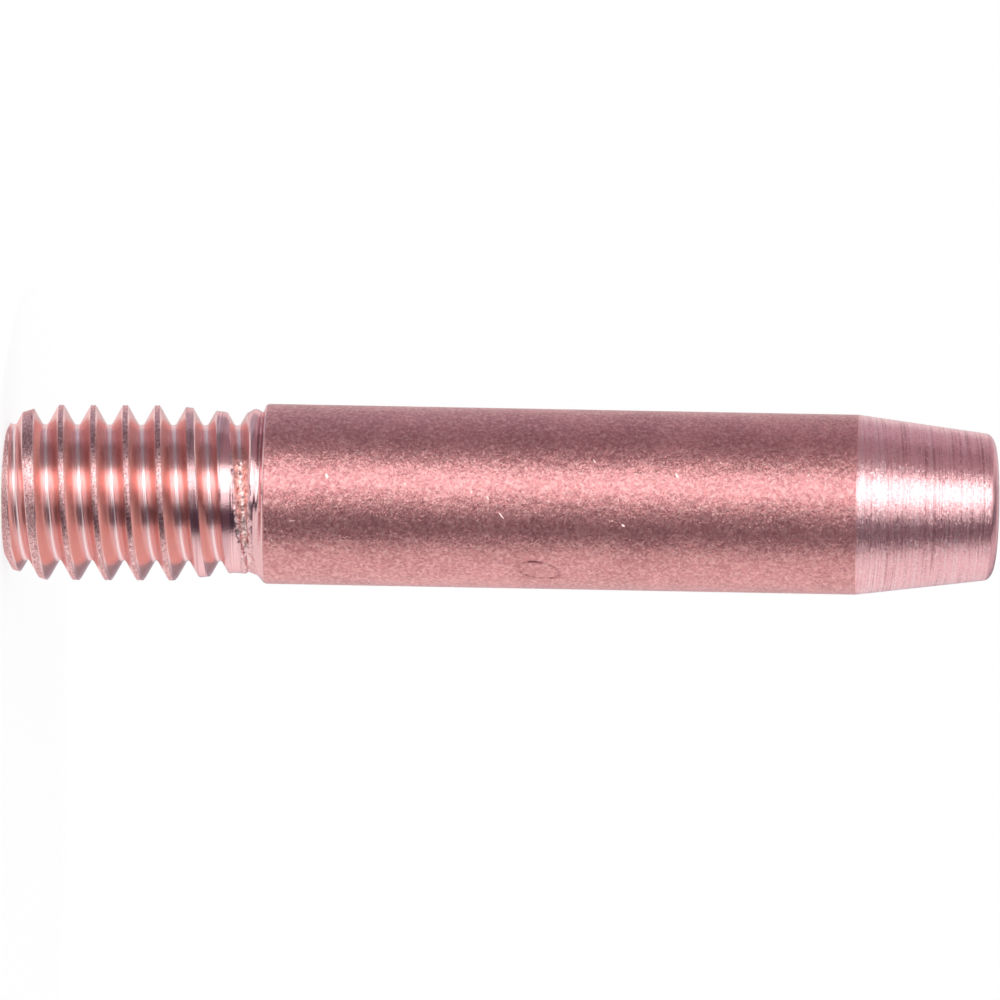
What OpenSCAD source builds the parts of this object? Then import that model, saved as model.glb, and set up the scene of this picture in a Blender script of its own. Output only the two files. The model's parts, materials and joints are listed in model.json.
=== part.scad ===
// Welding contact tip: one length of copper rod, turned and thread-rolled.
// A chamfered screw thread fades out into a plain neck, a hollow seat steps up
// to the rod, and the rod ends in a tapered nose with a rounded front edge.
// A wire bore runs right through.
// The tip stands on its thread end, on the origin, with its axis along +Z.

/* [Rod] */
// Overall length, from the thread end to the nose face
overall_length = 43.5; // [36:0.1:60]
// Diameter of the drawn rod
rod_d = 7.94; // [7:0.01:10]

/* [Thread] */
// Diameter over the thread crests
thread_d = 7.72; // [6.5:0.01:9]
// Distance from one thread crest to the next
thread_pitch = 1.411; // [1:0.001:1.6]
// Length of thread from the thread end to where the groove starts to run out
thread_length = 10.14; // [8:0.01:14]
// Turn of the groove while it rises out of the neck
runout_turn = 180; // [90:5:300]
// Length over which the crests fall to the neck
fade_length = 2.85; // [1:0.05:4]

/* [Thread end] */
// How far the flat thread end lies inside the first crest
end_chamfer = 0.62; // [0.2:0.01:1]
// Length of the chamfer behind the thread end
end_chamfer_length = 0.33; // [0.1:0.01:0.6]
// How far the first crest stays below the full crests
lead_drop = 0.44; // [0.1:0.01:0.8]
// Length from the thread end to the first full crest
lead_length = 1.75; // [1:0.05:3]

/* [Neck and seat] */
// How far the plain neck lies below the crests
neck_drop = 0.37; // [0.1:0.01:0.7]
// Length of the plain neck
neck_length = 0.58; // [0.3:0.01:2]
// Length of the hollow seat between neck and rod
seat_length = 0.75; // [0.3:0.01:2]

/* [Nose] */
// Length of the nose, from the end of the plain rod to the nose face
nose_length = 6; // [3:0.1:12]
// Diameter where the nose taper meets its rounded front edge
nose_d = 6.49; // [5:0.01:7.5]
// Diameter of the flat nose face
nose_face_d = 5.56; // [4:0.01:6.4]
// Length of the rounded front edge
nose_round_length = 0.35; // [0.1:0.01:1]

/* [Wire bore] */
// Diameter of the bore that guides the wire
bore_d = 1.35; // [0.8:0.01:2.4]
// Mouth of the wire's lead-in cone in the thread end
entry_d = 3; // [2.6:0.01:4]
// Included angle of the lead-in cone
entry_angle = 60; // [40:1:100]
// Edge break where the bore leaves the nose face
exit_break = 0.1; // [0.05:0.01:0.3]

/* [Hidden] */
$fn = 96;

copper = [0.74, 0.49, 0.46];

// Unified thread form, as shares of the pitch
flank_angle = 30;
thread_depth = 0.6134 * thread_pitch;
crest_flat = thread_pitch / 8;
root_flat = thread_pitch - crest_flat - 2 * thread_depth * tan(flank_angle);

// Radii
rod_r = rod_d / 2;
crest_r = thread_d / 2;
root_r = crest_r - thread_depth;
neck_r = crest_r - neck_drop;
lead_r = crest_r - lead_drop;
end_r = lead_r - end_chamfer;
nose_r = nose_d / 2;
nose_face_r = nose_face_d / 2;
bore_r = bore_d / 2;
entry_r = entry_d / 2;

// Heights above the thread end
seat_z = thread_length + neck_length;
nose_z = overall_length - nose_length;
entry_depth = (entry_r - bore_r) / tan(entry_angle / 2);

// Rounded outlines: the seat's arc runs out of the neck, the nose edge is a quarter oval
arc_steps = 8;
quarter_turn = 90;
seat_step = rod_r - neck_r;
seat_radius = (pow(seat_step, 2) + pow(seat_length, 2)) / (2 * seat_step);

function seat_point(h) = [neck_r + seat_radius - sqrt(pow(seat_radius, 2) - pow(h, 2)), seat_z + h];

function nose_point(a) = [
    nose_face_r + (nose_r - nose_face_r) * cos(a),
    overall_length - nose_round_length * (1 - sin(a)),
];

// Groove cutter: its outside clears the crests without meeting the next turn
segments = 48;
outside_gap = crest_flat / 4 / tan(flank_angle);
outside_r = crest_r + outside_gap;
outside_width = thread_pitch - crest_flat / 2;
runout_gap = 0.25;
runout_rise = neck_r - root_r + runout_gap;
runout_length = thread_pitch * runout_turn / 360;
groove_z0 = -thread_pitch;
groove_z1 = thread_length + runout_length;
groove_steps = ceil((groove_z1 - groove_z0) / thread_pitch * segments);
// The groove reaches its full-depth end on the -X side
runout_angle = 180;

function groove_z(i) = groove_z0 + (groove_z1 - groove_z0) * i / groove_steps;
function groove_angle(z) = runout_angle + 360 * (z - thread_length) / thread_pitch;
function groove_rise(z) = runout_rise * pow(max(0, z - thread_length) / runout_length, 2);

function groove_section(rise) = [
    [root_r + rise, -root_flat / 2],
    [root_r + rise, root_flat / 2],
    [outside_r + rise, outside_width / 2],
    [outside_r + rise, -outside_width / 2],
];

// Half section of the rod, turned and bored, before its thread is cut
module turned_section() {
    thread_end = [
        [entry_r, 0],
        [end_r, 0],
        [lead_r, end_chamfer_length],
        [crest_r, lead_length],
        [crest_r, thread_length - fade_length],
        [neck_r, thread_length],
    ];
    seat = [for (i = [0:arc_steps]) seat_point(seat_length * i / arc_steps)];
    nose_edge = [for (i = [0:arc_steps]) nose_point(quarter_turn * i / arc_steps)];
    bore = [
        [bore_r + exit_break, overall_length],
        [bore_r, overall_length - exit_break],
        [bore_r, entry_depth],
    ];
    polygon(concat(thread_end, seat, [[rod_r, nose_z]], nose_edge, bore));
}

// Helical V groove that starts below the thread end and rises out in the neck
module thread_groove() {
    corners = len(groove_section(0));
    points = [
        for (i = [0:groove_steps])
            let (z = groove_z(i), a = groove_angle(z))
            for (c = groove_section(groove_rise(z)))
                [c[0] * cos(a), c[0] * sin(a), z + c[1]]
    ];
    sides = [
        for (i = [0:groove_steps - 1], k = [0:corners - 1])
            let (
                a = i * corners + k,
                b = i * corners + (k + 1) % corners
            )
            each [[a, b + corners, b], [a, a + corners, b + corners]]
    ];
    last = groove_steps * corners;
    caps = [
        [for (k = [0:corners - 1]) k],
        [for (k = [1:corners]) last + corners - k],
    ];
    polyhedron(points, concat(sides, caps));
}

module contact_tip() {
    color(copper)
    difference() {
        rotate_extrude() turned_section();
        thread_groove();
    }
}

contact_tip();
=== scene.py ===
import json
import math
import random

import bmesh
import bpy
from mathutils import Euler, Matrix, Quaternion, Vector, noise


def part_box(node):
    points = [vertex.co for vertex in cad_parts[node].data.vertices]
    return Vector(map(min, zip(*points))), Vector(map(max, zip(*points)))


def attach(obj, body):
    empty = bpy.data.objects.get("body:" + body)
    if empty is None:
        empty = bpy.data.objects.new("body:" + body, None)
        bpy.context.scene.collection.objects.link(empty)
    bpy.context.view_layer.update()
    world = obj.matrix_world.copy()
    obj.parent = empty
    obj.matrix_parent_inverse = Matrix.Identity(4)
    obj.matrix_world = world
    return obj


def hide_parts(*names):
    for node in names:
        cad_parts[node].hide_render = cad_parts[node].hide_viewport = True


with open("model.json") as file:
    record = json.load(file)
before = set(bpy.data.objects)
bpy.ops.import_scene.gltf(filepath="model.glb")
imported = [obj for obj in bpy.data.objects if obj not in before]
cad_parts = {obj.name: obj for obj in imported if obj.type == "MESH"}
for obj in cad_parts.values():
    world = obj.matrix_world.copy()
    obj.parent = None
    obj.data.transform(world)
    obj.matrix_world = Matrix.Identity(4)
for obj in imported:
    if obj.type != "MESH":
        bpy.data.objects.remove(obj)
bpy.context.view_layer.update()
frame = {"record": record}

# The tip is drawn in millimetres and brought to metres when it is finished
mm = 0.001
slack = 0.01                 # for points that lie on a limit
tipLow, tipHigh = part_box("contact_tip")
overallLength = (tipHigh.z - tipLow.z) / mm
rodR = (tipHigh.x - tipLow.x) / 2 / mm
mounts = {m["name"]: m["dims"] for m in frame["record"]["mounts"]}
crestR = mounts["mounting_thread"]["r_mm"]
threadLength = mounts["mounting_thread"]["length_mm"]
boreR = mounts["wire_bore"]["r_mm"]

turned = {
    "steps": 144,            # columns round the axis
    "coreR": 2.0,            # skin past this radius is skewed, leaned and marked, the bore is not
    "endR": 2.8,             # flat thread end
    "endRings": 5,
    "endGap": 0.05,          # bridged from the flat end to the thread
    "leadR": 3.42,           # top of the end chamfer
    "leadZ": 0.33,
    "fullCrestZ": 1.75,      # first full crest
    "fadeLength": 2.85,      # the last crests fall to the neck over this
    "neckR": 3.49,
    "neckLength": 0.58,
    "seatLength": 0.75,
    "seatGap": 0.03,         # bridged from the thread to the seat
    "shoulder": [            # soft lower edge of the rod, out and up from its corner
        (-0.03, -0.03), (-0.008, 0.01), (0, 0.06),
    ],
    "rodRing": 0.5,          # spacing of the rings along the rod
    "lastRing": 0.04,        # from the last of them to the nose
    "noseLength": 6.0,
    "noseR": 3.245,          # where the taper meets the rounded front edge
    "noseFaceR": 2.72,
    "noseRound": 0.37,       # length of the rounded front edge
    "roundShares": [         # shares of its width and its length, ring by ring
        (0.94, 0.78), (0.79, 0.5), (0.55, 0.24), (0.28, 0.08), (0, 0),
    ],
    "noseSkew": 0.35,        # the taper starts earlier on the near side
    "skewBelow": 0.55,       # length of rod that the skew bends
    "skewAbove": 5,          # and length of nose
    "noseRing": 0.06,        # spacing of the tool marks on the nose
    "toolMark": 0.0022,      # how deep the tool marks go
    "markSeed": 7,
    "faceRings": 16,
    "exitBreak": 0.1,
    "boreRings": 12,
    "entryR": 1.5,           # mouth of the wire's lead-in cone
    "entryAngle": 60,
    "entryRings": 4,
    "weld": 0.001,
    "smoothAngle": 35,       # degrees, sharper edges stay sharp
}
thread = {
    "pitch": 1.411,
    "flank": 29.5,           # degrees, half of the groove's angle
    "crestHalf": 0.115,      # half of the crest's flat
    "seamDip": 0.006,        # the crest is a little hollow between its two rolled lips
    "crestShares": [(0, 1), (0.45, 0.5), (0.88, 0)],     # of the half flat, and of the dip there
    "crestEdge": (0.02, 0.055),      # from the end of the flat out and down to the flank
    "flankRows": 9,
    "rootRound": 0.17,       # radius at the bottom of the groove
    "rootRows": 5,
    "turns": 10,
    "fullDepthAngle": 180,   # the groove is at full depth up to here, the -X side
    "runoutTurn": 0.5,
    "runoutRise": 0.745,
    "leastR": 1.0,           # the outline runs on below the flat end, but not past this
    "sheetGap": 0.12,        # the helical sheet is cut this far below the rod, on the seat
    "lipAngle": 190,         # metal pushed up between the last groove and the seat
    "lipReach": 118,         # degrees to either side
    "lipFull": 0.35,         # share of that reach where it stands at full height
    "lean": 0.7,             # degrees that the thread leans against the rod
    "leanEnd": 1,            # height over which the flat end stays level
    "tear": 0.09,            # roughness of the torn groove
    "tearGrain": [(2.6, 0.7), (4.2, 0.3)],       # lumps per mm and their shares
    "tornStart": (0.19, 0.29),       # heights above the groove's full-depth end
    "tornEnd": 0.2,                  # fades out over this, past the run-out
    "tornHalf": (0.26, 0.46),        # half width, and where it has faded
    "weld": 0.002,
    "cutReach": 1e-5,        # points this near to a cut lie on it
}

flank = math.radians(thread["flank"])
rootSide = thread["pitch"] / 2 - thread["rootRound"] * math.cos(flank)   # the flank meets the root here
rootRise = thread["rootRound"] * (1 - math.sin(flank))
grooveDepth = (rootSide - thread["crestHalf"]) / math.tan(flank) + rootRise

neckZ = threadLength
seatZ = neckZ + turned["neckLength"]
shoulderZ = seatZ + turned["seatLength"]
noseZ = overallLength - turned["noseLength"]
noseRoundZ = overallLength - turned["noseRound"]
sheetTop = shoulderZ - thread["sheetGap"]
seatEdge = sheetTop + turned["seatGap"]
runoutEnd = threadLength + thread["runoutTurn"] * thread["pitch"]

# Heights and radii of the tip before its groove
neckR = turned["neckR"]
blankOutline = [
    (0, turned["endR"]),
    (turned["leadZ"], turned["leadR"]),
    (turned["fullCrestZ"], crestR),
    (threadLength - turned["fadeLength"], crestR),
    (neckZ - 0.57, neckR + 0.11),
    (neckZ - 0.14, neckR + 0.01),
    (neckZ + 0.41, neckR + 0.045),
]
seatOutline = blankOutline + [        # a small step, then a hollow cone up to the rod
    (seatZ - 0.08, neckR + 0.01),
    (seatZ - 0.02, neckR - 0.07),
    (seatZ + 0.06, neckR - 0.06),
    (seatZ + 0.28, neckR + 0.04),
    (seatZ + 0.47, neckR + 0.21),
    (shoulderZ - 0.05, rodR - 0.015),
    (shoulderZ, rodR),
]
lipOutline = blankOutline + [         # where the lip stands, a land and a nick instead of the cone
    (seatZ + 0.08, neckR + 0.2),
    (seatZ + 0.2, neckR + 0.25),
    (seatZ + 0.38, neckR + 0.2),
    (seatZ + 0.5, neckR + 0.11),
    (seatZ + 0.56, neckR + 0.13),
    (sheetTop, rodR - 0.13),
    (shoulderZ, rodR),
]


def ramp(points, x):                 # straight lines through (x, y) points, run on at both ends
    for (x0, y0), (x1, y1) in zip(points, points[1:]):
        if x <= x1 or (x1, y1) == points[-1]:
            return y0 + (y1 - y0) * (x - x0) / (x1 - x0)


def smooth(low, high, x):
    t = max(0.0, min(1.0, (x - low) / (high - low)))
    return t * t * (3 - 2 * t)


def spaced(start, end, count):       # even steps from start to end, without the start
    (x0, y0), (x1, y1) = start, end
    return [(x0 + (x1 - x0) * i / count, y0 + (y1 - y0) * i / count) for i in range(1, count + 1)]


def radiusAt(p):
    return math.hypot(p.x, p.y)


def degreesRound(p):
    return math.degrees(math.atan2(p.y, p.x)) % 360


def turnFrom(middle, angle):         # the shorter way round, in degrees
    return (angle - middle + 180) % 360 - 180


def setRadius(v, r):
    scale = r / radiusAt(v.co)
    v.co.x *= scale
    v.co.y *= scale


def lipShare(angle):                 # 1 where the lip stands, 0 past its reach
    away = abs(turnFrom(thread["lipAngle"], angle))
    return 1 - smooth(thread["lipReach"] * thread["lipFull"], thread["lipReach"], away)


def blankRadius(angle, z):
    share = lipShare(angle)
    return max(thread["leastR"], ramp(seatOutline, z) * (1 - share) + ramp(lipOutline, z) * share)


def grooveCentre(angle, z):          # height of the groove that is nearest to this point
    base = threadLength + thread["pitch"] * (angle - thread["fullDepthAngle"]) / 360
    return base + thread["pitch"] * round((z - base) / thread["pitch"])


def grooveRise(centre):              # how far the groove has come up out of the neck
    return thread["runoutRise"] * max(0.0, (centre - threadLength) / (runoutEnd - threadLength)) ** 2


def tornShare(angle, z):
    centre = grooveCentre(angle, z)
    low, high = thread["tornStart"]
    along = smooth(threadLength + low, threadLength + high, centre)
    along *= 1 - smooth(runoutEnd, runoutEnd + thread["tornEnd"], centre)
    return along * (1 - smooth(*thread["tornHalf"], abs(z - centre)))


def threadRadius(p):                 # a point of the helical sheet, turned at both ends
    angle = degreesRound(p)
    centre = grooveCentre(angle, p.z)
    r = min(radiusAt(p) + grooveRise(centre), blankRadius(angle, p.z))
    torn = tornShare(angle, p.z)
    if torn > 0:
        rough = sum(noise.noise(p * grain) * share for grain, share in thread["tearGrain"])
        r += thread["tear"] * torn * rough
    return r


def drawOutline(name, points):       # one vertex extruded from point to point, in the XZ plane
    bpy.ops.object.select_all(action="DESELECT")
    bpy.ops.mesh.primitive_plane_add(size=slack, location=(points[0][0], 0, points[0][1]))
    bpy.ops.object.transform_apply(location=True)
    piece = bpy.context.object
    piece.name = name
    bpy.ops.object.mode_set(mode="EDIT")
    bpy.ops.mesh.select_all(action="SELECT")
    bpy.ops.mesh.merge(type="CENTER")
    for here, there in zip(points, points[1:]):
        step = (there[0] - here[0], 0, there[1] - here[1])
        bpy.ops.mesh.extrude_region_move(TRANSFORM_OT_translate={"value": step})
    bpy.ops.object.mode_set(mode="OBJECT")
    return piece


def weld(distance):
    bpy.ops.mesh.select_all(action="SELECT")
    bpy.ops.mesh.remove_doubles(threshold=distance)


def cutLevel(z, **side):             # cuts right across and drops one side
    bpy.ops.mesh.select_all(action="SELECT")
    bpy.ops.mesh.bisect(plane_co=(0, 0, z), plane_no=(0, 0, 1), threshold=thread["cutReach"], **side)


def bridgeOpenEdges(piece, low, high):
    mesh = bmesh.from_edit_mesh(piece.data)
    bpy.ops.mesh.select_mode(type="EDGE")
    bpy.ops.mesh.select_all(action="DESELECT")
    for edge in mesh.edges:
        if edge.is_boundary and all(low - slack <= v.co.z <= high + slack for v in edge.verts):
            edge.select_set(True)
    bmesh.update_edit_mesh(piece.data)
    bpy.ops.mesh.bridge_edge_loops()


def makeThread():
    pitch, crestHalf = thread["pitch"], thread["crestHalf"]
    half = [(crestHalf * side, crestR - thread["seamDip"] * dip) for side, dip in thread["crestShares"]]
    out, down = thread["crestEdge"]
    half.append((crestHalf + out, crestR - down))
    for i in range(1, thread["flankRows"] + 1):
        s = crestHalf + (rootSide - crestHalf) * i / thread["flankRows"]
        half.append((s, crestR - (s - crestHalf) / math.tan(flank)))
    for i in range(1, thread["rootRows"]):
        a = (math.pi / 2 - flank) * (1 - i / thread["rootRows"])
        half.append((pitch / 2 - thread["rootRound"] * math.sin(a),
                     crestR - grooveDepth + thread["rootRound"] * (1 - math.cos(a))))
    profile = half + [(pitch / 2, crestR - grooveDepth)] + [(pitch - s, r) for s, r in reversed(half)]

    # height of a crest on the +X side, then moved down by whole turns until it is below the flat end
    start = threadLength - pitch * (thread["fullDepthAngle"] / 360 + 0.5)
    start -= pitch * math.ceil(start / pitch + 1)
    piece = drawOutline("threadSheet", [(r, start + s) for s, r in profile])
    screw = piece.modifiers.new("helix", "SCREW")
    screw.axis = "Z"
    screw.angle = 2 * math.pi
    screw.screw_offset = pitch
    screw.iterations = thread["turns"]
    screw.steps = screw.render_steps = turned["steps"]
    bpy.ops.object.modifier_apply(modifier="helix")
    for v in piece.data.vertices:
        setRadius(v, threadRadius(v.co))

    bpy.ops.object.mode_set(mode="EDIT")
    weld(thread["weld"])
    cutLevel(0, clear_inner=True)
    cutLevel(sheetTop, clear_outer=True)
    weld(thread["weld"])
    bpy.ops.object.mode_set(mode="OBJECT")
    print("thread:", len(piece.data.polygons), "faces")
    return piece


def makeTurnedPart():
    marks = random.Random(turned["markSeed"])
    noseR, faceR, entryR = turned["noseR"], turned["noseFaceR"], turned["entryR"]
    points = [(ramp(seatOutline, seatEdge), seatEdge)]
    points += [(rodR + out, shoulderZ + up) for out, up in turned["shoulder"]]
    rings = round((noseZ - shoulderZ) / turned["rodRing"])
    points += spaced((rodR, shoulderZ), (rodR, noseZ), rings)[:-1]
    points += [(rodR, noseZ - turned["lastRing"]), (rodR, noseZ)]

    rings = round((noseRoundZ - noseZ) / turned["noseRing"])
    for r, z in spaced((rodR, noseZ), (noseR, noseRoundZ), rings)[:-1]:
        points.append((r - turned["toolMark"] * marks.random(), z))
    points.append((noseR, noseRoundZ))
    for out, back in turned["roundShares"]:
        points.append((faceR + (noseR - faceR) * out, overallLength - turned["noseRound"] * back))
    faceIn = boreR + turned["exitBreak"]
    for r, z in spaced((faceR, overallLength), (faceIn, overallLength), turned["faceRings"])[:-1]:
        points.append((r, z - turned["toolMark"] * marks.random()))
    points.append((faceIn, overallLength))

    boreTop = overallLength - turned["exitBreak"]
    entryDepth = (entryR - boreR) / math.tan(math.radians(turned["entryAngle"] / 2))
    points.append((boreR, boreTop))
    points += spaced((boreR, boreTop), (boreR, entryDepth), turned["boreRings"])
    points += spaced((boreR, entryDepth), (entryR, 0), turned["entryRings"])
    points += spaced((entryR, 0), (turned["endR"] - turned["endGap"], 0), turned["endRings"])

    piece = drawOutline("turnedPart", points)
    bpy.ops.object.mode_set(mode="EDIT")
    bpy.ops.mesh.select_all(action="SELECT")
    bpy.ops.mesh.spin(steps=turned["steps"], angle=2 * math.pi, center=(0, 0, 0), axis=(0, 0, 1))
    weld(turned["weld"])
    bpy.ops.object.mode_set(mode="OBJECT")
    print("turned part:", len(piece.data.polygons), "faces")
    return piece


def joinTip(sheet, body):
    bpy.ops.object.select_all(action="DESELECT")
    sheet.select_set(True)
    body.select_set(True)
    bpy.context.view_layer.objects.active = body
    bpy.ops.object.join()
    body.name = body.data.name = "tip_copper"
    bpy.ops.object.mode_set(mode="EDIT")
    bridgeOpenEdges(body, 0, 0)
    bridgeOpenEdges(body, sheetTop, seatEdge)
    bpy.ops.mesh.select_all(action="SELECT")
    bpy.ops.mesh.normals_make_consistent(inside=False)
    left = sum(e.is_boundary or not e.is_manifold for e in bmesh.from_edit_mesh(body.data).edges)
    bpy.ops.object.mode_set(mode="OBJECT")
    print("joined tip:", len(body.data.polygons), "faces,", left, "open edges")
    return body


oval = {
    "z": 23.5,
    "angle": 322.5,
    "halfLength": 0.94,
    "halfWidth": 0.56,
    "lean": 19,              # degrees on the skin
    "floor": 0.014,          # depth inside
    "wall": (-0.1, 0.02),    # distances from the rim between which the floor comes up
    "rim": 0.042,            # depth of the line round it
    "rimWidth": 0.1,
    "patchZ": 1.5,           # half height of the patch of faces that is divided for it
    "patchTurn": 15,         # half width, in degrees
    "cuts": 7,
    "even": 0.75,            # share of the depth all over
    "uneven": 0.5,           # and how far lumps change it
    "lumps": 6,              # per mm
    "dull": 1.3,             # painted shade along the rim's crease
    "dullGaps": (-0.5, -0.1),
    "gapGrain": 5,
    "gapPlace": Vector((3, 1, 2)),
}


def pressOval(piece):                # a plain shallow dent in the rod
    bpy.ops.object.mode_set(mode="EDIT")
    bpy.ops.mesh.select_mode(type="FACE")
    bpy.ops.mesh.select_all(action="DESELECT")
    mesh = bmesh.from_edit_mesh(piece.data)
    for face in mesh.faces:
        middle = face.calc_center_median()
        near = abs(middle.z - oval["z"]) < oval["patchZ"]
        near = near and abs(turnFrom(oval["angle"], degreesRound(middle))) < oval["patchTurn"]
        if near and radiusAt(middle) > turned["coreR"]:
            face.select_set(True)
    bpy.ops.mesh.subdivide(number_cuts=oval["cuts"])
    # painted shade in the crease round the dent, kept per point
    dull = mesh.verts.layers.float.new("dentShare")
    lean = math.radians(oval["lean"])
    for v in mesh.verts:
        if not v.select:
            continue
        along = v.co.z - oval["z"]
        across = math.radians(turnFrom(oval["angle"], degreesRound(v.co))) * rodR
        u = (along * math.cos(lean) + across * math.sin(lean)) / oval["halfLength"]
        w = (across * math.cos(lean) - along * math.sin(lean)) / oval["halfWidth"]
        edge = (math.hypot(u, w) - 1) * oval["halfWidth"]
        rough = oval["even"] + oval["uneven"] * noise.noise(v.co * oval["lumps"])
        line = math.exp(-(2 * edge / oval["rimWidth"]) ** 2) * rough
        press = oval["floor"] * (1 - smooth(*oval["wall"], edge)) * rough + oval["rim"] * line
        gaps = noise.noise(v.co * oval["gapGrain"] + oval["gapPlace"])
        v[dull] = min(1, line * oval["dull"]) * smooth(*oval["dullGaps"], gaps)
        setRadius(v, rodR - press)
    bmesh.update_edit_mesh(piece.data)
    bpy.ops.object.mode_set(mode="OBJECT")
    print("oval dent:", len(piece.data.polygons), "faces")


skins = ("rod", "thread", "nose", "bore")        # in the order of the tip's materials
skinMarks = {                # mm below the outline over which the shares change
    "crest": (0.014, 0.036),
    "edge": (0.016, 0.034),
    "edgeEnd": (0.05, 0.12),
    "root": (0.01, 0.2),     # mm above the bottom of the groove
    "lowest": 0.02,          # the flat end has no marks
}
threadShares = ("crestShare", "edgeShare", "rootShare", "tornShare")


def markSkin(piece):                 # shares that the thread's copper reads
    for name in threadShares:
        piece.data.attributes.new(name, "FLOAT", "POINT")
    crest, edge, root, torn = (piece.data.attributes[name] for name in threadShares)
    for v in piece.data.vertices:
        r = radiusAt(v.co)
        if r < turned["coreR"] or v.co.z > shoulderZ or v.co.z < skinMarks["lowest"]:
            continue
        angle = degreesRound(v.co)
        below = blankRadius(angle, v.co.z) - r
        edgeEnd = smooth(*skinMarks["edgeEnd"], below)
        crest.data[v.index].value = 1 - smooth(*skinMarks["crest"], below)
        edge.data[v.index].value = smooth(*skinMarks["edge"], below) * (1 - edgeEnd)
        root.data[v.index].value = 1 - smooth(*skinMarks["root"], r - crestR + grooveDepth)
        torn.data[v.index].value = tornShare(angle, v.co.z)


def skinZones(piece):
    for face in piece.data.polygons:
        zone = "rod"
        if radiusAt(face.center) < turned["entryR"] and face.center.z < overallLength - slack:
            zone = "bore"
        elif face.center.z > noseZ:
            zone = "nose"
        elif face.center.z < shoulderZ - slack:
            zone = "thread"
        face.material_index = skins.index(zone)


def skewNose(piece):                 # the taper was turned a little off centre
    for v in piece.data.vertices:
        if radiusAt(v.co) > turned["coreR"]:
            share = smooth(noseZ - turned["skewBelow"], noseZ, v.co.z)
            share *= 1 - smooth(noseZ, noseZ + turned["skewAbove"], v.co.z)
            v.co.z += turned["noseSkew"] * share * v.co.y / rodR


def leanThread(piece):               # the thread was rolled a little out of line with the rod
    lean = math.radians(thread["lean"])
    for v in piece.data.vertices:
        if radiusAt(v.co) > turned["coreR"] and v.co.z < shoulderZ:
            share = lean * (1 - smooth(neckZ, shoulderZ, v.co.z))
            end = smooth(0, thread["leanEnd"], v.co.z)        # the flat end stays on the floor
            v.co.x, v.co.z = v.co.x + share * (seatZ - v.co.z), v.co.z + share * end * v.co.x


def finishTip(piece):
    pressOval(piece)
    markSkin(piece)
    skinZones(piece)
    skewNose(piece)
    leanThread(piece)
    piece.scale = (mm, mm, mm)
    bpy.ops.object.transform_apply(location=False, rotation=False, scale=True)
    bpy.ops.object.shade_smooth_by_angle(angle=math.radians(turned["smoothAngle"]))


def addNode(tree, kind, inputs=None, **settings):
    node = tree.nodes.new(kind)
    for key, value in settings.items():
        setattr(node, key, value)
    for key, value in (inputs or {}).items():
        if isinstance(value, bpy.types.NodeSocket):
            tree.links.new(value, node.inputs[key])
        else:
            node.inputs[key].default_value = value
    return node


def startCopper(name, shape):
    paint = bpy.data.materials.new(name)
    paint.use_nodes = True
    tree = paint.node_tree
    shader = tree.nodes["Principled BSDF"]
    shader.inputs["Metallic"].default_value = 1
    shader.inputs["Base Color"].default_value = (*shape["color"], 1)
    shader.inputs["Roughness"].default_value = shape["roughness"]
    place = addNode(tree, "ShaderNodeTexCoord").outputs["Object"]
    return paint, tree, shader, place


def speckle(tree, place, scale, detail):
    return addNode(tree, "ShaderNodeTexNoise", {"Vector": place, "Scale": scale, "Detail": detail,
                                                "Roughness": 0.6}).outputs["Fac"]


def cells(tree, place, scale, output):
    return addNode(tree, "ShaderNodeTexVoronoi", {"Vector": place, "Scale": scale}).outputs[output]


def stretched(tree, place, scale):
    return addNode(tree, "ShaderNodeMapping", {"Vector": place, "Scale": scale}).outputs[0]


def skinShare(tree, name):
    return addNode(tree, "ShaderNodeAttribute", attribute_name=name).outputs["Fac"]


def between(tree, value, low, high, outLow=0.0, outHigh=1.0):
    return addNode(tree, "ShaderNodeMapRange", {"Value": value, "From Min": low, "From Max": high,
                                                "To Min": outLow, "To Max": outHigh}).outputs["Result"]


def maths(tree, operation, first, second):
    return addNode(tree, "ShaderNodeMath", {0: first, 1: second}, operation=operation).outputs[0]


def vectors(tree, operation, **inputs):
    sockets = {"first": 0, "second": 1, "third": 2, "scale": "Scale"}
    filled = {sockets[key]: value for key, value in inputs.items()}
    return addNode(tree, "ShaderNodeVectorMath", filled, operation=operation).outputs[0]


def blend(tree, share, first, second):
    node = addNode(tree, "ShaderNodeMix", data_type="RGBA")
    for key, value in (("Factor_Float", share), ("A_Color", first), ("B_Color", second)):
        socket = next(i for i in node.inputs if i.identifier == key)
        if isinstance(value, bpy.types.NodeSocket):
            tree.links.new(value, socket)
        else:
            socket.default_value = (*value, 1)
    return next(o for o in node.outputs if o.identifier == "Result_Color")


def skinNormal(tree):
    return addNode(tree, "ShaderNodeNewGeometry").outputs["Normal"]


def turnedSkin(tree, share, way):        # the skin's normal, turned to face another way by this share
    if not isinstance(way, bpy.types.NodeSocket):
        way = addNode(tree, "ShaderNodeCombineXYZ", dict(enumerate(way))).outputs[0]
    way = addNode(tree, "ShaderNodeVectorTransform", {"Vector": way}, vector_type="NORMAL",
                  convert_from="OBJECT", convert_to="WORLD").outputs[0]
    away = vectors(tree, "SUBTRACT", first=way, second=skinNormal(tree))
    away = vectors(tree, "SCALE", first=away, scale=share)
    return vectors(tree, "ADD", first=skinNormal(tree), second=away)


def glints(tree, place, scale, tilt, skin):    # little facets, most nearly flat and a few well tilted
    color = cells(tree, place, scale, "Color")
    way = vectors(tree, "MULTIPLY_ADD", first=color, second=(2, 2, 2), third=(-1, -1, -1))
    square = vectors(tree, "MULTIPLY", first=way, second=way)
    lean = vectors(tree, "MULTIPLY", first=way, second=square)
    lean = vectors(tree, "SCALE", first=lean, scale=tilt)
    facet = vectors(tree, "ADD", first=skin, second=lean)
    return vectors(tree, "NORMALIZE", first=facet)


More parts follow.
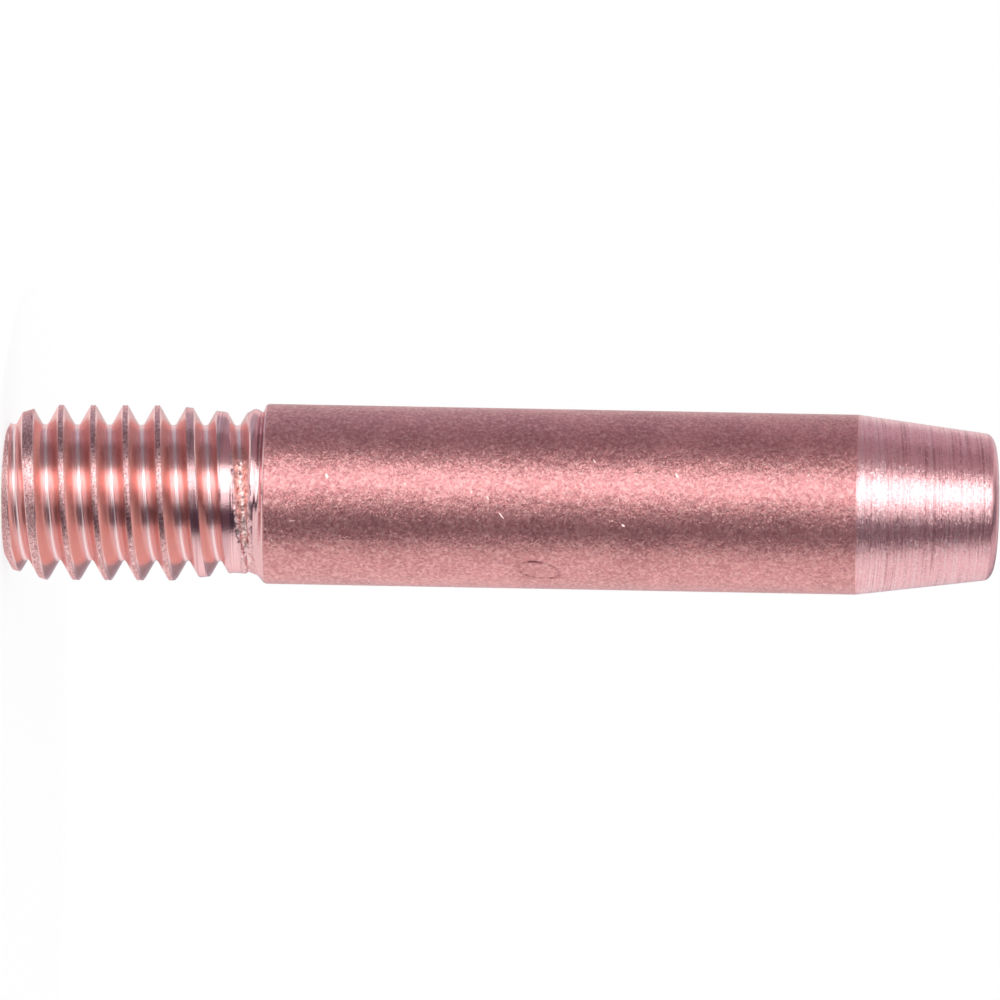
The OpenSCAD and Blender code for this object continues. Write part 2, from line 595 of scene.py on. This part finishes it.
def raiseSkin(tree, shader, height, distance, facets):
    node = addNode(tree, "ShaderNodeBump", {"Height": height, "Distance": distance, "Normal": facets,
                                            "Strength": 1.0})
    tree.links.new(node.outputs["Normal"], shader.inputs["Normal"])


satin = {
    "color": (0.80, 0.362, 0.357),
    "dull": (0.66, 0.29, 0.29),
    "dark": (0.33, 0.12, 0.14),
    "pale": (0.95, 0.56, 0.54),
    "chip": (0.93, 0.71, 0.65),
    "roughness": 0.42,
    "fineGrain": (10000, 1),             # per metre, and its detail
    "coarseGrain": (6200, 2),
    "clumpGrain": (3000, 3),
    "patchGrain": (420, 4),
    "waveGrain": (900, 2),
    "chipGrain": 620,
    "dullPatches": (0.35, 0.65),         # grain from and to, then how much shows from and to
    "darkClumps": (0.4, 0.66, 0, 0.28),
    "darkPits": (0.4, 0.75, 0, 0.5),
    "palePeaks": (0.44, 0.75, 0, 0.75),
    "chips": (0.034, 0.024),
    "darkDent": 0.7,
    "depth": 1.0e-5,
    "wave": 5,               # slow unevenness, next to the grain
    "glints": 20000,
    "tilt": 0.16,
    "nickFaces": (-0.17, -0.985, 0),     # the way that the nicks face
    "nickDepth": 0.5,
    "nickFade": (1.0, 0.5),  # from the outline of a nick inwards
}
nicks = [                    # z in mm, degrees round the rod, half length, half width, lean, strength
    (14.2, 258, 0.14, 0.08, -70, 1.0),
    (21.2, 270, 0.13, 0.04, -60, 0.9),
    (21.8, 281, 0.22, 0.04, -52, 0.9),
    (12.7, 287, 0.25, 0.04, 10, 0.5),
    (29.4, 254, 0.18, 0.06, -65, 1.0),
    (27.1, 286, 0.10, 0.06, -35, 1.0),
    (25.8, 245, 0.12, 0.04, -60, 0.8),
    (17.6, 262, 0.08, 0.04, -40, 0.9),
    (33.5, 279, 0.07, 0.03, -30, 0.6),
]


def nickShare(tree, place):
    total = None
    for z, angle, long, wide, lean, strength in nicks:
        a = math.radians(angle)
        spot = addNode(tree, "ShaderNodeMapping", {
            "Vector": place,
            "Location": Vector((rodR * math.cos(a), rodR * math.sin(a), z)) * mm,
            "Rotation": Euler((math.radians(lean), 0, a)),
            "Scale": Vector((satin["nickDepth"], wide, long)) * mm,
        }, vector_type="TEXTURE").outputs[0]
        away = addNode(tree, "ShaderNodeVectorMath", {0: spot}, operation="LENGTH").outputs["Value"]
        share = between(tree, away, *satin["nickFade"], 0, strength)
        total = share if total is None else maths(tree, "MAXIMUM", total, share)
    return total


def rodCopper():
    paint, tree, shader, place = startCopper("satinCopper", satin)
    fine = speckle(tree, place, *satin["fineGrain"])
    coarse = speckle(tree, place, *satin["coarseGrain"])
    clumps = speckle(tree, place, *satin["clumpGrain"])
    patches = speckle(tree, place, *satin["patchGrain"])
    nicked = nickShare(tree, place)
    chips = between(tree, cells(tree, place, satin["chipGrain"], "Distance"), *satin["chips"])
    # painted shade along the dent's rim
    dent = maths(tree, "MULTIPLY", skinShare(tree, "dentShare"), satin["darkDent"])
    color = blend(tree, between(tree, patches, *satin["dullPatches"]), satin["color"], satin["dull"])
    color = blend(tree, between(tree, clumps, *satin["darkClumps"]), color, satin["dark"])
    color = blend(tree, between(tree, fine, *satin["darkPits"]), color, satin["dark"])
    color = blend(tree, between(tree, coarse, *satin["palePeaks"]), color, satin["pale"])
    color = blend(tree, maths(tree, "MAXIMUM", chips, nicked), color, satin["chip"])
    color = blend(tree, dent, color, satin["dark"])
    tree.links.new(color, shader.inputs["Base Color"])
    wave = maths(tree, "MULTIPLY", speckle(tree, place, *satin["waveGrain"]), satin["wave"])
    height = maths(tree, "ADD", maths(tree, "SUBTRACT", coarse, fine), wave)
    skin = turnedSkin(tree, nicked, satin["nickFaces"])
    facets = glints(tree, place, satin["glints"], satin["tilt"], skin)
    raiseSkin(tree, shader, height, satin["depth"], facets)
    return paint


bright = {
    "color": (0.98, 0.555, 0.57),
    # painted shade along the tool marks' grooves, also the colour of the dark grain
    "line": (0.46, 0.2, 0.22),
    # painted shade on the rounded front edge of the nose
    "rim": (0.66, 0.33, 0.36),
    "pale": (0.96, 0.7, 0.7),
    "roughness": 0.33,
    "fade": 0.4,             # the turned skin starts over this length
    "toolMarks": (110, 110, 11000),      # per metre, drawn out round the axis
    "markDetail": 3,
    "slowGrain": (600, 3),               # per metre, and its detail
    "fineGrain": (11000, 1),
    "spotGrain": (7000, 2),
    "paleMarks": (0.48, 0.34, 0, 0.7),   # grain from and to, then how much shows from and to
    "darkMarks": (0.5, 0.66),
    "markPatches": (0.36, 0.6, 0.05, 0.65),
    "darkGrain": (0.54, 0.72, 0, 0.4),
    "paleSpots": (0.56, 0.72),
    "rimStart": (-0.04, 0.06),           # mm from the start of the rounded front edge
    "rimShare": 0.8,
    "depth": 1.6e-5,
    "grainHeight": 0.5,      # next to the tool marks
    "glints": (8000, 8000, 22000),       # drawn out round the axis
    "tilt": 0.1,
}


def noseCopper():
    paint, tree, shader, place = startCopper("turnedCopper", bright)
    marks = speckle(tree, stretched(tree, place, bright["toolMarks"]), 1.0, bright["markDetail"])
    slow = speckle(tree, place, *bright["slowGrain"])
    grain = speckle(tree, place, *bright["fineGrain"])
    spots = speckle(tree, place, *bright["spotGrain"])
    patches = between(tree, slow, *bright["markPatches"])
    # painted shade: the tool marks are darkened where their grooves would be shaded
    lines = maths(tree, "MULTIPLY", between(tree, marks, *bright["darkMarks"]), patches)
    color = blend(tree, between(tree, marks, *bright["paleMarks"]), bright["color"], bright["pale"])
    color = blend(tree, lines, color, bright["line"])
    color = blend(tree, between(tree, grain, *bright["darkGrain"]), color, bright["line"])
    color = blend(tree, between(tree, spots, *bright["paleSpots"]), color, bright["pale"])
    apart = addNode(tree, "ShaderNodeSeparateXYZ", {"Vector": place})
    z = apart.outputs["Z"]
    # painted shade: the rounded front edge is blended towards a darker copper
    rimLow, rimHigh = ((noseRoundZ + up) * mm for up in bright["rimStart"])
    color = blend(tree, between(tree, z, rimLow, rimHigh, 0, bright["rimShare"]), color, bright["rim"])

    # satin up to the skewed start of the taper, with a ragged edge
    skew = maths(tree, "MULTIPLY", apart.outputs["Y"], turned["noseSkew"] / rodR)
    level = maths(tree, "SUBTRACT", z, skew)
    level = maths(tree, "ADD", level, maths(tree, "MULTIPLY", slow, -bright["fade"] * mm))
    start = between(tree, level, (noseZ - bright["fade"]) * mm, noseZ * mm)
    tree.links.new(blend(tree, start, satin["color"], color), shader.inputs["Base Color"])
    dull = between(tree, start, 0, 1, satin["roughness"], bright["roughness"])
    tree.links.new(dull, shader.inputs["Roughness"])
    height = maths(tree, "ADD", marks, maths(tree, "MULTIPLY", grain, bright["grainHeight"]))
    streaks = stretched(tree, place, bright["glints"])
    facets = glints(tree, streaks, 1.0, bright["tilt"], skinNormal(tree))
    raiseSkin(tree, shader, height, bright["depth"], facets)
    return paint


rolled = {
    "color": (0.85, 0.535, 0.50),
    "root": (0.92, 0.69, 0.69),
    "edge": (0.97, 0.74, 0.73),
    "torn": (0.98, 0.72, 0.68),
    "tornDark": (0.6, 0.29, 0.27),
    "crest": (0.80, 0.46, 0.46),
    "crestDark": (0.36, 0.16, 0.17),
    "crestPale": (0.96, 0.70, 0.69),
    "land": (0.84, 0.52, 0.53),          # the last crests, where they fade
    "landFull": 1.4,         # mm below the thread's end
    "glance": (1.0, 0.8, 0.8),           # tint at grazing angles
    "roughness": 0.24,
    "crestRoughness": 0.32,
    "landRoughness": 0.22,
    "leadRoughness": 0.02,   # more on the first crest
    "rootRoughness": 0.04,   # more at the bottom of the groove
    "tornRoughness": 0.12,   # more where the metal is torn
    "firstCrest": (2.0, 1.6),            # mm, the first crest lies below these
    "fineGrain": (14000, 2),             # per metre, and its detail
    "coarseGrain": (8400, 2),
    "crumbGrain": 5200,
    "rollMarks": (160, 160, 9500),       # drawn out round the axis
    "markDetail": 2,
    "crestSpots": (0.47, 0.6),           # grain from and to, then how much shows from and to
    "crestScuffs": (0.54, 0.68),
    "landMarks": (0.5, 0.68, 0, 0.5),
    "flankSpots": (0.58, 0.75, 0, 0.35),
    "tornSpots": (0.5, 0.72, 0, 0.7),
    "depth": 6e-6,
    "grainHeight": 0.5,
    "crestHeight": (0.5, 0.3),           # more on full crests, and on the last ones
    "crumbHeight": 4.0,
    "glints": 7000,          # only where the metal is torn
    "tilt": 0.38,
}


def threadCopper():
    paint, tree, shader, place = startCopper("rolledCopper", rolled)
    crest, edge, root, torn = (skinShare(tree, name) for name in threadShares)
    z = addNode(tree, "ShaderNodeSeparateXYZ", {"Vector": place}).outputs["Z"]
    landLow, landHigh = threadLength - turned["fadeLength"], threadLength - rolled["landFull"]
    land = between(tree, z, landLow * mm, landHigh * mm)
    lead = maths(tree, "MULTIPLY", crest, between(tree, z, *(level * mm for level in rolled["firstCrest"])))
    fine = speckle(tree, place, *rolled["fineGrain"])
    coarse = speckle(tree, place, *rolled["coarseGrain"])
    marks = speckle(tree, stretched(tree, place, rolled["rollMarks"]), 1.0, rolled["markDetail"])
    crumbs = cells(tree, place, rolled["crumbGrain"], "Distance")

    spotted = blend(tree, between(tree, fine, *rolled["crestSpots"]), rolled["crest"], rolled["crestDark"])
    spotted = blend(tree, between(tree, coarse, *rolled["crestScuffs"]), spotted, rolled["crestPale"])
    lined = blend(tree, between(tree, marks, *rolled["landMarks"]), rolled["land"], rolled["crestDark"])
    top = blend(tree, land, spotted, lined)
    grainy = blend(tree, between(tree, coarse, *rolled["tornSpots"]), rolled["torn"], rolled["tornDark"])
    color = blend(tree, between(tree, coarse, *rolled["flankSpots"]), rolled["color"], rolled["crest"])
    for share, over in ((root, rolled["root"]), (torn, grainy), (crest, top), (edge, rolled["edge"])):
        color = blend(tree, share, color, over)
    tree.links.new(color, shader.inputs["Base Color"])
    shader.inputs["Specular Tint"].default_value = (*rolled["glance"], 1)

    dullTop = between(tree, land, 0, 1, rolled["crestRoughness"], rolled["landRoughness"])
    dull = between(tree, crest, 0, 1, rolled["roughness"], dullTop)
    for share, more in ((lead, "leadRoughness"), (root, "rootRoughness"), (torn, "tornRoughness")):
        dull = maths(tree, "ADD", dull, maths(tree, "MULTIPLY", share, rolled[more]))
    tree.links.new(dull, shader.inputs["Roughness"])

    rough = maths(tree, "MULTIPLY", crest, between(tree, land, 0, 1, *rolled["crestHeight"]))
    height = maths(tree, "MULTIPLY", fine, maths(tree, "ADD", rough, rolled["grainHeight"]))
    crumbled = maths(tree, "MULTIPLY", crumbs, maths(tree, "MULTIPLY", torn, rolled["crumbHeight"]))
    height = maths(tree, "ADD", height, crumbled)
    # the first crest is rolled level, though the blank under it is tapered
    outward = vectors(tree, "MULTIPLY", first=place, second=(1, 1, 0))
    skin = turnedSkin(tree, lead, vectors(tree, "NORMALIZE", first=outward))
    tilt = maths(tree, "MULTIPLY", torn, rolled["tilt"])
    raiseSkin(tree, shader, height, rolled["depth"], glints(tree, place, rolled["glints"], tilt, skin))
    return paint


inside = {
    "color": (0.42, 0.19, 0.16),
    "roughness": 0.45,
}


def boreCopper():
    return startCopper("boreCopper", inside)[0]


tipPiece = joinTip(makeThread(), makeTurnedPart())
finishTip(tipPiece)
for paint in (rodCopper(), threadCopper(), noseCopper(), boreCopper()):
    tipPiece.data.materials.append(paint)
print("copper:", len(tipPiece.data.materials), "skins")

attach(tipPiece, "root")
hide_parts("contact_tip")

# Floor, light and camera, in metres
studio = {
    "worldLevel": 1.0,
    "softboxLevel": 0.93,    # radiance, where the world is 1
    "softboxDistance": 0.4,
    "softboxTurn": -19.5,    # degrees round from the camera, minus towards the photo's top
    "softboxSpread": 28,     # degrees that it covers
    "softboxLength": 0.7,
    "softboxRoll": -26,      # its top leans towards the photo's bottom
    "panels": [              # level, turn, spread and height above the middle of two more panels
        (1.7, -11, 56, 0.135),
        (2.0, -6, 51, -0.122),
    ],
    "panelDistance": 0.26,
    "panelHeight": 0.155,
    "fillLevel": 0.15,       # a little more from the photo's bottom
    "fillDistance": 0.4,
    "fillTurn": 105,
    "fillSize": (0.5, 0.7),
    "floorLamp": 3.0,        # for the floor, the copper doesn't reflect it
    "floorLampZ": 0.7,
    "floorLampSize": (0.5, 0.5),
    "ceilingZ": 0.8,         # a grey card over the nose
    "ceilingSize": (0.7, 0.7),
    "ceilingColor": (0.42, 0.43, 0.47),
    "floorR": 0.024,
    "floorCorners": 96,
    "floorPlace": (0.0145, 0.0115, 0),
    "floorColor": (0.98, 0.98, 0.98),
    "floorWhite": 0.85,      # share of plain white in the floor as it is seen
}
# Cards for the copper to reflect: colour, turn from and to, distance, height, height above the middle
cards = [
    ("lowerCard", (0.042, 0.023, 0.051), -5.5, 59, 0.37, 1.5, 0),
    ("upperCard", (0.275, 0.265, 0.3), -40, -95, 0.37, 0.7, 0),
    ("farCard", (0.66, 0.69, 0.77), -95, -140, 0.37, 0.7, 0),
    ("backCard", (0.74, 0.83, 0.93), 158, 180, 0.4, 0.7, 0),
    ("backUpperCard", (0.92, 1.0, 1.0), 180, 202, 0.4, 0.7, 0),
    ("shadeCard", (0.42, 0.41, 0.45), 152, 182, 0.37, 0.24, 0.2),
    # only the tapered nose looks up at these
    ("highCard", (0.95, 0.93, 0.94), 60, 150, 0.37, 0.3, 0.2),
    ("highLowerCard", (0.1, 0.055, 0.08), 4, 59, 0.35, 0.3, 0.2),
    ("highUpperCard", (0.37, 0.25, 0.285), -42, -98, 0.35, 0.3, 0.2),
    ("highFarCard", (0.63, 0.51, 0.565), -98, -140, 0.35, 0.3, 0.2),
]
midZ = overallLength * mm / 2


def fromCamera(turn, distance, z):   # a place round the tip, turned from the camera to the photo's bottom
    a = math.radians(turn)
    return Vector((distance * math.sin(a), -distance * math.cos(a), z))


def widthOf(spread, distance):       # of a lamp that covers this angle
    return 2 * distance * math.tan(math.radians(spread / 2))


def areaLight(name, level, size, place, towards, roll=0):
    lamp = bpy.data.lights.new(name, "AREA")
    lamp.shape = "RECTANGLE"
    lamp.size, lamp.size_y = size
    lamp.energy = level * math.pi ** 2 / 4 * size[0] * size[1]       # so that its radiance is the level
    holder = bpy.data.objects.new(name, lamp)
    bpy.context.scene.collection.objects.link(holder)
    holder.location = place
    aim = (Vector(towards) - Vector(place)).to_track_quat("-Z", "Y")
    holder.rotation_euler = (aim @ Quaternion((0, 0, 1), math.radians(roll))).to_euler()
    holder.visible_camera = False
    return holder


def studioPaint(name, color):
    paint = bpy.data.materials.new(name)
    paint.use_nodes = True
    shader = paint.node_tree.nodes["Principled BSDF"]
    shader.inputs["Base Color"].default_value = (*color, 1)
    shader.inputs["Roughness"].default_value = 1
    shader.inputs["Specular IOR Level"].default_value = 0
    return paint


def addCard(name, color, size, place, turn):
    bpy.ops.object.select_all(action="DESELECT")
    bpy.ops.mesh.primitive_plane_add(size=1, location=place)
    piece = bpy.context.object
    piece.name = name
    piece.scale = (*size, 1)
    piece.rotation_euler = turn
    piece.data.materials.append(studioPaint(name, color))
    piece.visible_camera = False


def standCard(name, color, fromTurn, toTurn, distance, height, above):
    start = fromCamera(fromTurn, distance, midZ + above)
    end = fromCamera(toTurn, distance, midZ + above)
    middle = (start + end) / 2
    facing = Vector((middle.x, middle.y, 0)).to_track_quat("Z", "Y").to_euler()
    addCard(name, color, ((end - start).length, height), middle, facing)


def layFloor():
    bpy.ops.object.select_all(action="DESELECT")
    bpy.ops.mesh.primitive_circle_add(vertices=studio["floorCorners"], radius=studio["floorR"],
                                      fill_type="NGON", location=studio["floorPlace"])
    floor = bpy.context.object
    floor.name = "floor"
    paint = studioPaint("floorPaint", studio["floorColor"])
    tree = paint.node_tree
    seen = addNode(tree, "ShaderNodeLightPath").outputs
    whiter = maths(tree, "MAXIMUM", seen["Is Camera Ray"], seen["Is Glossy Ray"])
    whiter = maths(tree, "MAXIMUM", whiter, seen["Is Transmission Ray"])
    white = addNode(tree, "ShaderNodeEmission", {"Color": (1, 1, 1, 1), "Strength": 1.0})
    mixed = addNode(tree, "ShaderNodeMixShader", {
        0: maths(tree, "MULTIPLY", whiter, studio["floorWhite"]),
        1: tree.nodes["Principled BSDF"].outputs[0],
        2: white.outputs[0],
    })
    tree.links.new(mixed.outputs[0], tree.nodes["Material Output"].inputs["Surface"])
    floor.data.materials.append(paint)


world = bpy.data.worlds.new("studio")
world.use_nodes = True
world.node_tree.nodes["Background"].inputs["Color"].default_value = (1, 1, 1, 1)
world.node_tree.nodes["Background"].inputs["Strength"].default_value = studio["worldLevel"]
bpy.context.scene.world = world

softboxSize = (widthOf(studio["softboxSpread"], studio["softboxDistance"]), studio["softboxLength"])
softboxPlace = fromCamera(studio["softboxTurn"], studio["softboxDistance"], midZ)
areaLight("softbox", studio["softboxLevel"], softboxSize, softboxPlace, (0, 0, midZ), studio["softboxRoll"])
for level, turn, spread, above in studio["panels"]:
    panelSize = (widthOf(spread, studio["panelDistance"]), studio["panelHeight"])
    panelPlace = fromCamera(turn, studio["panelDistance"], midZ + above)
    areaLight("panel", level, panelSize, panelPlace, (0, 0, midZ + above))
fillPlace = fromCamera(studio["fillTurn"], studio["fillDistance"], midZ)
areaLight("fill", studio["fillLevel"], studio["fillSize"], fillPlace, (0, 0, midZ))
lampPlace = (0, 0, studio["floorLampZ"])
floorLamp = areaLight("floorLamp", studio["floorLamp"], studio["floorLampSize"], lampPlace, (0, 0, 0))
floorLamp.visible_glossy = False

for row in cards:
    standCard(*row)
ceilingPlace = (0, 0, studio["ceilingZ"])
addCard("ceilingCard", studio["ceilingColor"], studio["ceilingSize"], ceilingPlace, (math.pi, 0, 0))
layFloor()
print("studio:", len(cards) + 1, "cards and a floor")

shot = {
    "scale": 22.68,          # photo pixels per mm at the axis
    "threadEnd": 7.0,        # photo column of the thread end
    "axis": 498.1,           # photo row of the axis at the middle column
    "tilt": 1.06,            # degrees that the nose hangs lower
    "distance": 0.234,
    "frame": 1000,           # photo pixels
    "sensor": 36,
}
lens = bpy.data.cameras.new("shot")
camera = bpy.data.objects.new("shot", lens)
bpy.context.scene.collection.objects.link(camera)
bpy.context.scene.camera = camera
frameWidth = shot["frame"] / shot["scale"] * mm
lens.sensor_width = shot["sensor"]
lens.lens = lens.sensor_width * shot["distance"] / frameWidth
tilt = math.radians(shot["tilt"])
right = Vector((-math.sin(tilt), 0, math.cos(tilt)))
up = Vector((-math.cos(tilt), 0, -math.sin(tilt)))
aimZ = (shot["frame"] / 2 - shot["threadEnd"]) / shot["scale"] * mm
aimX = (shot["frame"] / 2 - shot["axis"]) / shot["scale"] * mm
basis = Matrix((right, up, Vector((0, -1, 0)))).transposed().to_4x4()
camera.matrix_world = Matrix.Translation((aimX, -shot["distance"], aimZ)) @ basis
bpy.context.scene.view_settings.view_transform = "Standard"
print("camera: lens", round(lens.lens, 1), "mm")
